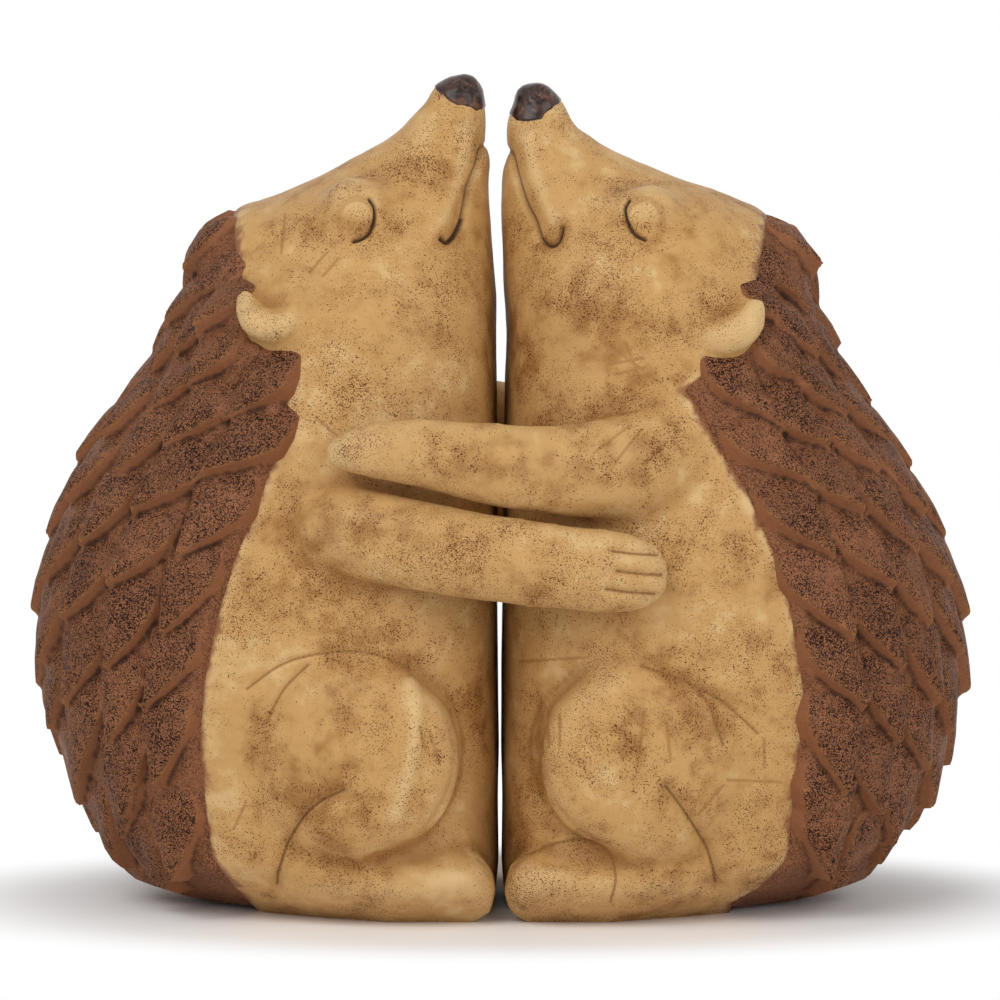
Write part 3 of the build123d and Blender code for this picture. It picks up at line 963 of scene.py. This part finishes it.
def quill_seats(figure, skin, sizes):
    """Where quills sit: rows up the back, each spread evenly from its middle round to the coat's edge."""
    side = SIDES[figure]
    shake = random.Random(f"{figure} quills")
    bm = opened(skin)
    tree = BVHTree.FromBMesh(bm)
    bm.free()
    sweeps = np.array(QUILL_SWEEP).T
    ear = Vector(np.mean(np.array(EARS[figure])[:, :3], axis=0)) * MM
    seats, row = [], 0
    height, top = (share * MM for share in QUILL_ROOTS)
    while height < top:
        axis = Vector((side * QUILL_AXIS, 0, height))
        sweep = math.radians(np.interp(height / MM, *sweeps))
        flow = Vector((side * math.cos(sweep), 0, -math.sin(sweep)))
        size = np.interp(height / MM, *QUILL_SHRINK)
        for turn in FLANKS:
            run, lengths = [], [0.0]
            for degrees in QUILL_FAN:
                angle = math.radians(degrees)
                aim = Vector((side * math.cos(angle), turn * math.sin(angle), 0))
                spot, normal, _, _ = tree.ray_cast(axis, aim)
                if spot is None:
                    break
                heading = (flow - normal * flow.dot(normal)).normalized()
                across = normal.cross(heading)
                across *= -math.copysign(1, across.x * side)
                front = spot + across * 0.42 * size * sizes.quill_width
                root = spot - heading * 0.36 * size * sizes.quill_length
                if (behind_edge(np.array([front, root]), figure) < QUILL_CLEAR).any():
                    break
                if run:
                    lengths.append(lengths[-1] + (spot - run[-1][0]).length)
                run.append((spot, normal, heading))
            if len(run) < 2:
                continue
            count = max(1, round(lengths[-1] / (sizes.quill_column * size)))
            for number in range(row % 2, count + 1, 2):
                if number == 0 and turn > 0:
                    continue
                along = lengths[-1] * (number + shake.uniform(-0.12, 0.06)) / count
                at = min(len(run) - 1, int(np.searchsorted(lengths, along)))
                spot, normal, heading = run[at]
                if (Vector((side * spot.x, abs(spot.y), spot.z)) - ear).length < EAR_CLEAR:
                    continue
                heading = Matrix.Rotation(math.radians(shake.uniform(-8, 8)), 3, normal) @ heading
                stretch = shake.uniform(0.92, 1.1) * size
                tilt = shake.uniform(5, 9) * size
                roll = shake.uniform(6, 12)
                seats.append((spot, normal, heading, stretch, tilt, roll))
        slope = abs(run[0][1].x) if run else 1
        height += sizes.quill_row * size * max(0.4, slope)
        row += 1
    return seats


def make_quill_coat(figure, sizes, material):
    """The quill coat of one figure: plates like shingles over the grown back, joined as one casting."""
    skin = coat_skin(figure, sizes)
    shake = random.Random(f"{figure} forms")
    forms = [quill_form(sizes, shake) for _ in range(QUILL_FORMS)]
    bm = opened(skin)
    wall, tint = [0.4] * len(bm.faces), [0.5] * len(bm.faces)
    for spot, normal, heading, stretch, tilt, roll in quill_seats(figure, skin, sizes):
        across = normal.cross(heading)
        roll = math.radians(roll) * min(1, max(-1, across.z / 0.55))
        up = normal * math.cos(roll) + across * math.sin(roll)
        pitch = math.radians(tilt)
        along = heading * math.cos(pitch) + up * math.sin(pitch)
        up = up * math.cos(pitch) - heading * math.sin(pitch)
        turned = Matrix((along, up.cross(along), up)).transposed().to_4x4()
        form, walls = shake.choice(forms)
        plate = form.copy()
        thin = min(1, 0.35 + 0.65 * stretch)
        plate.transform(Matrix.Translation(spot) @ turned @ Matrix.Diagonal((stretch, stretch, thin, 1)))
        bm.from_mesh(plate)
        bpy.data.meshes.remove(plate)
        wall += walls
        tint += [shake.random()] * len(walls)
    bm.faces.index_update()
    tree = BVHTree.FromBMesh(bm)
    mesh = joined(bm, sizes.quill_grain, f"{figure}_quills")
    place(mesh, relaxed(corners(mesh), pairs(mesh), 1, 0.35))
    bm = opened(mesh)
    behind = behind_edge(corners(mesh), figure)
    front = [vert for vert, distance in zip(bm.verts, behind) if distance < COAT_HEM]
    bmesh.ops.delete(bm, geom=front, context="VERTS")
    closed(bm, mesh)
    points, edges = corners(mesh), pairs(mesh)
    nearest = [tree.find_nearest(point)[2] for point in points]
    attribute(mesh, "wall", relaxed(np.array(wall)[nearest][:, None], edges, 1))
    attribute(mesh, "tint", np.array(tint)[nearest])
    attribute(mesh, "hollow", hollows(points, edges, normals(mesh), 6) / MM)
    points += normals(mesh) * (waves(points, 4 * MM) * 0.1 * MM)[:, None]
    depth, rise = depth_and_rise(points, figure)
    points[:, 2] += np.maximum(by_table(COAT_FOOT, depth) - rise, 0)
    settle(mesh, points)
    for form, _ in forms:
        bpy.data.meshes.remove(form)
    bpy.data.meshes.remove(skin)
    finished(mesh, f"{figure}_quills", figure, material, [f"{figure}_quill_coat"])


def make_nose(figure, material):
    """The painted nose: the tip of the muzzle, with its nostrils, under a skin of paint."""
    bm = opened(bpy.data.objects[f"{figure}_casting"].data)

    def above(verts):
        points = np.array([vert.co for vert in verts])
        depth, rise = depth_and_rise(points, figure)
        ragged = waves(points, 1.1 * MM) * 0.3 * MM
        return rise - by_table(NOSE_EDGE[figure], depth) + ragged

    bm.verts.ensure_lookup_table()
    low = [vert for vert, height in zip(bm.verts, above(bm.verts)) if height < -1.2 * MM]
    bmesh.ops.delete(bm, geom=low, context="VERTS")
    for _ in range(2):
        bmesh.ops.subdivide_edges(bm, edges=bm.edges, cuts=1, use_grid_fill=True, smooth=0.5)
    bm.verts.ensure_lookup_table()
    height = above(bm.verts)
    mesh = closed(bm, bpy.data.meshes.new(f"{figure}_nose_paint"))
    points = corners(mesh)
    points += normals(mesh) * (0.25 * smooth_step(height, 0, 0.3 * MM) - 0.1)[:, None] * MM
    place(mesh, points)
    attribute(mesh, "hollow", hollows(points, pairs(mesh), normals(mesh), 30) / MM)
    finished(mesh, f"{figure}_nose_paint", figure, material, [f"{figure}_nose"])


def material_of(name, make, context):
    """A finish by name, made once."""
    return bpy.data.materials.get(name) or make(context.scene.hedgehog_colours)


class HEDGEHOG_OT_castings(bpy.types.Operator):
    """Model the cream bodies with their heads, arms, legs and ears"""

    bl_idname = "hedgehog.castings"
    bl_label = "Castings"

    def execute(self, context):
        material = material_of("waxed_cast_resin", resin_material, context)
        for figure in SIDES:
            make_casting(figure, context.scene.hedgehog_sizes, material)
        return {"FINISHED"}


class HEDGEHOG_OT_quills(bpy.types.Operator):
    """Model the quill coats"""

    bl_idname = "hedgehog.quills"
    bl_label = "Quill coats"

    def execute(self, context):
        material = material_of("brown_painted_resin", quill_material, context)
        for figure in SIDES:
            make_quill_coat(figure, context.scene.hedgehog_sizes, material)
        return {"FINISHED"}


class HEDGEHOG_OT_noses(bpy.types.Operator):
    """Model the painted noses, over the castings"""

    bl_idname = "hedgehog.noses"
    bl_label = "Noses"

    def execute(self, context):
        material = material_of("dark_nose_paint", nose_material, context)
        for figure in SIDES:
            make_nose(figure, material)
        return {"FINISHED"}


class HEDGEHOG_OT_stage(bpy.types.Operator):
    """Set up the floor, the lights, the background and the camera"""

    bl_idname = "hedgehog.stage"
    bl_label = "Stage"

    def execute(self, context):
        scene = context.scene
        scene.view_settings.view_transform = "Standard"
        white = scene.hedgehog_colours.floor
        self.floor(white)
        self.world(scene, white)
        for name, place_mm, size_mm, watts in (
            ("key_light", (-380, -560, 620), 520, 2.9),
            ("fill_light", (520, -620, 380), 600, 2.1),
            ("top_light", (0, 120, 760), 500, 0.25),
        ):
            lamp = bpy.data.lights.new(name, "AREA")
            lamp.size = size_mm * MM
            lamp.energy = watts
            holder = put(name, lamp)
            holder.location = Vector(place_mm) * MM
            aim = Vector((0, 0, 50)) * MM - holder.location
            holder.rotation_euler = aim.to_track_quat("-Z", "Y").to_euler()
        lens = bpy.data.cameras.new("camera")
        lens.sensor_width = SENSOR / MM
        lens.lens = lens.sensor_width * VIEW_DISTANCE / VIEW_WIDTH
        lens.clip_start, lens.clip_end = 10 * MM, 20.0
        camera = put("camera", lens)
        camera.location = VIEW_FROM
        camera.rotation_euler = VIEW_FORWARD.to_track_quat("-Z", "Y").to_euler()
        scene.camera = camera
        return {"FINISHED"}

    def shown(self, tree):
        """One where a ray brings the background to the picture."""
        strongest = 0.0
        for kind in ("Is Camera Ray", "Is Glossy Ray", "Is Transmission Ray"):
            strongest = maths(tree, "MAXIMUM", strongest, node(tree, "ShaderNodeLightPath", out=kind))
        return strongest

    def floor(self, white):
        """A pale floor that keeps the shadow round the pair and goes over to plain white beyond it."""
        bm = bmesh.new()
        bmesh.ops.create_grid(bm, x_segments=2, y_segments=2, size=3.0)
        mesh = closed(bm, bpy.data.meshes.new("floor"))
        material, tree, where = new_material("pale_floor")
        round_pair = node(tree, "ShaderNodeVectorMath", {0: where, 1: (1, 1.8, 1)}, operation="MULTIPLY")
        away = node(tree, "ShaderNodeVectorMath", {0: round_pair}, "Value", operation="LENGTH")
        far = eased(tree, away, 56 * MM, 84 * MM)
        share = maths(tree, "MULTIPLY", far, self.shown(tree))
        matt = node(tree, "ShaderNodeBsdfDiffuse", {"Color": white})
        plain = node(tree, "ShaderNodeEmission", {"Color": white})
        surface = node(tree, "ShaderNodeMixShader", {0: share, 1: matt, 2: plain})
        node(tree, "ShaderNodeOutputMaterial", {"Surface": surface})
        mesh.materials.append(material)
        floor = put("floor", mesh)

    def world(self, scene, white):
        """Soft white light from all round, at full white only where it is looked at."""
        world = bpy.data.worlds.new("soft_white")
        scene.world = world
        world.use_nodes = True
        tree = world.node_tree
        tree.nodes.clear()
        strength = eased(tree, self.shown(tree), 0.0, 1.0, 1.0, 0.5, "LINEAR")
        sky = node(tree, "ShaderNodeBackground", {"Color": white, "Strength": strength})
        node(tree, "ShaderNodeOutputWorld", {"Surface": sky})


class HEDGEHOG_PT_panel(bpy.types.Panel):
    """Sizes, colours and the steps of the model"""

    bl_label = "Hugging hedgehogs"
    bl_idname = "HEDGEHOG_PT_panel"
    bl_space_type = "VIEW_3D"
    bl_region_type = "UI"
    bl_category = "Hedgehogs"

    def draw(self, context):
        for settings in (context.scene.hedgehog_sizes, context.scene.hedgehog_colours):
            for name in settings.__annotations__:
                self.layout.prop(settings, name)
        for step in STEPS:
            self.layout.operator(step.bl_idname)


STEPS = (HEDGEHOG_OT_castings, HEDGEHOG_OT_quills, HEDGEHOG_OT_noses, HEDGEHOG_OT_stage)
CLASSES = (HedgehogSizes, HedgehogColours, *STEPS, HEDGEHOG_PT_panel)


def register():
    for each in CLASSES:
        bpy.utils.register_class(each)
    bpy.types.Scene.hedgehog_sizes = bpy.props.PointerProperty(type=HedgehogSizes)
    bpy.types.Scene.hedgehog_colours = bpy.props.PointerProperty(type=HedgehogColours)


def unregister():
    del bpy.types.Scene.hedgehog_colours
    del bpy.types.Scene.hedgehog_sizes
    for each in reversed(CLASSES):
        bpy.utils.unregister_class(each)


def main():
    register()
    bpy.ops.hedgehog.castings()
    bpy.ops.hedgehog.quills()
    bpy.ops.hedgehog.noses()
    bpy.ops.hedgehog.stage()


if __name__ == "__main__":
    main()
